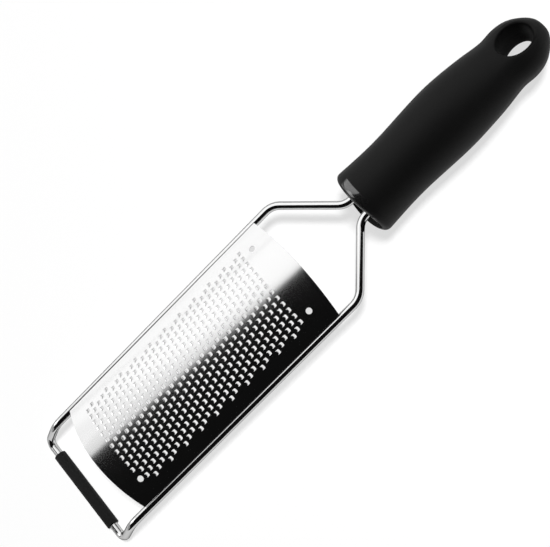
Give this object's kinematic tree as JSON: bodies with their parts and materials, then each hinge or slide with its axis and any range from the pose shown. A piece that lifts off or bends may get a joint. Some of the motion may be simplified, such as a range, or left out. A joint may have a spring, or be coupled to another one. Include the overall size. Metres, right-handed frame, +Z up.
{
  "type": "fine grater",
  "caption": "Hand-held fine grater: an arched, toothed steel blade on a bent wire frame, with a soft moulded handle, a hanging eye and a rubber foot.",
  "frame": {"origin": "under the middle of the tool's bounding box, on the table that it lies on", "axes": "+Y along the tool from the foot bar to the hanging eye, +Z up out of the toothed side of the blade, +X to the right seen from above with the handle away"},
  "size_m": [0.0666, 0.3096, 0.036],
  "materials": {
    "frame_steel": "polished round rod",
    "blade_steel": "bright sheet with etched teeth",
    "core_plastic": "hard moulded, black",
    "soft_grip": "soft touch, black, satin",
    "foot_rubber": "matt, black, lightly grained"
  },
  "bodies": {
    "root": {"wire_frame": "frame_steel", "grater_blade": "blade_steel", "handle_core": "core_plastic", "handle_grip": "soft_grip", "foot_sleeve": "foot_rubber"}
  },
  "joints": []
}
